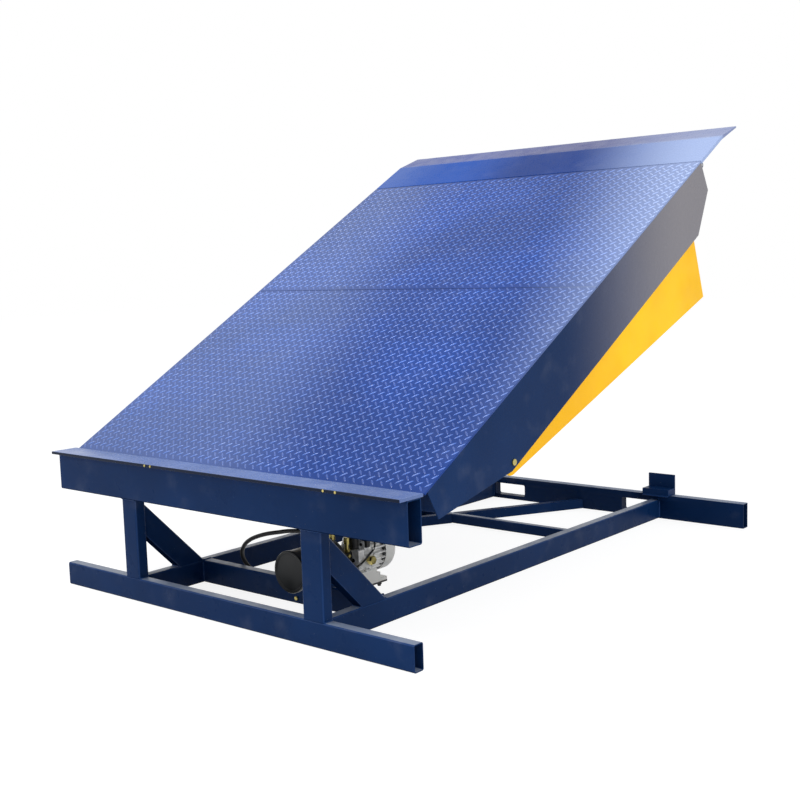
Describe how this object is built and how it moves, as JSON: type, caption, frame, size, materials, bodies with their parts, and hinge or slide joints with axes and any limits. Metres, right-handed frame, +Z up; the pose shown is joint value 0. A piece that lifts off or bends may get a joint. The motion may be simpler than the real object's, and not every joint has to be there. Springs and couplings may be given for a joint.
{
  "type": "dock leveler",
  "caption": "Floor-standing hydraulic dock leveler with a raised tread-plate deck, bent lip, yellow toe guards, tubular frame and power unit.",
  "frame": {"origin": "on the floor, at the middle of the front ground beam's underside", "axes": "+X across the deck, +Y from the hinge end to the lip end, +Z up"},
  "size_m": [2.05, 2.665, 1.984],
  "materials": {
    "frame_paint": "satin",
    "deck_paint": "satin",
    "guard_paint": "satin",
    "bare_steel": "ground",
    "tank_paint": "semi-gloss",
    "cast_aluminium": "cast",
    "cowl_paint": "satin",
    "zinc_plate": "yellow zinc",
    "hose_rubber": "matte"
  },
  "bodies": {
    "frame": {"front_ground_beam": "frame_paint", "left_post": "frame_paint", "right_post": "frame_paint", "left_brace": "frame_paint", "right_brace": "frame_paint", "upper_beam": "frame_paint", "approach_plate": "deck_paint", "left_rail": "frame_paint", "right_rail": "frame_paint", "front_cross_tube": "frame_paint", "middle_cross_tube": "frame_paint", "diagonal_tubes": "frame_paint", "rear_beam": "frame_paint", "left_keeper": "frame_paint", "right_keeper": "frame_paint", "deck_hinge_lugs": "frame_paint", "deck_hinge_pins": "bare_steel", "cylinder_base_lug": "frame_paint", "tank_saddle": "frame_paint", "oil_tank": "tank_paint", "valve_block": "cast_aluminium", "motor": "cast_aluminium", "fan_cowl": "cowl_paint", "terminal_box": "cast_aluminium", "valve_port": "zinc_plate", "hose_union": "zinc_plate", "lift_hose": "hose_rubber"},
    "deck": {"near_tread_plate": "deck_paint", "far_tread_plate": "deck_paint", "left_skirt": "frame_paint", "right_skirt": "frame_paint", "deck_ribs": "frame_paint", "near_header": "frame_paint", "far_header": "frame_paint", "deck_hinge_knuckles": "frame_paint", "deck_lip_knuckles": "frame_paint", "lip_hinge_pin": "bare_steel", "guard_bolts": "zinc_plate", "cylinder_deck_lug": "frame_paint"},
    "lip": {"lip_plate": "deck_paint", "lip_knuckle_row": "frame_paint"},
    "left_guard": {"left_toe_guard": "guard_paint"},
    "right_guard": {"right_toe_guard": "guard_paint"},
    "lift_barrel": {"cylinder_barrel": "frame_paint"},
    "lift_rod": {"cylinder_rod": "bare_steel"}
  },
  "joints": [
    {"name": "deck_lift", "type": "hinge", "parent": "frame", "child": "deck", "pos_m": [0, 0.076, 0.579], "axis": [1, 0, 0], "range_deg": [-30, 0]},
    {"name": "lip_fold", "type": "hinge", "parent": "deck", "child": "lip", "pos_m": [0, 2.16709, 1.78513], "axis": [1, 0, 0], "range_deg": [-80, 0]},
    {"name": "left_guard_swing", "type": "hinge", "parent": "deck", "child": "left_guard", "pos_m": [0, 0.59026, 0.63227], "axis": [1, 0, 0], "range_deg": [0, 8]},
    {"name": "right_guard_swing", "type": "hinge", "parent": "deck", "child": "right_guard", "pos_m": [0, 0.59026, 0.63227], "axis": [1, 0, 0], "range_deg": [0, 8]},
    {"name": "cylinder_tilt", "type": "hinge", "parent": "frame", "child": "lift_barrel", "pos_m": [0, 0.46, 0.06], "axis": [1, 0, 0], "range_deg": [-19.86, 0.05]},
    {"name": "rod_slide", "type": "slide", "parent": "lift_barrel", "child": "lift_rod", "axis": [0, 0.3648, 0.9311], "range_m": [-0.31114, 0.0005]}
  ],
  "couplings": [
    {"joint": "cylinder_tilt", "follows": "deck_lift", "ratio": 0.66029},
    {"joint": "rod_slide", "follows": "deck_lift", "m_per_rad": 0.59329}
  ]
}
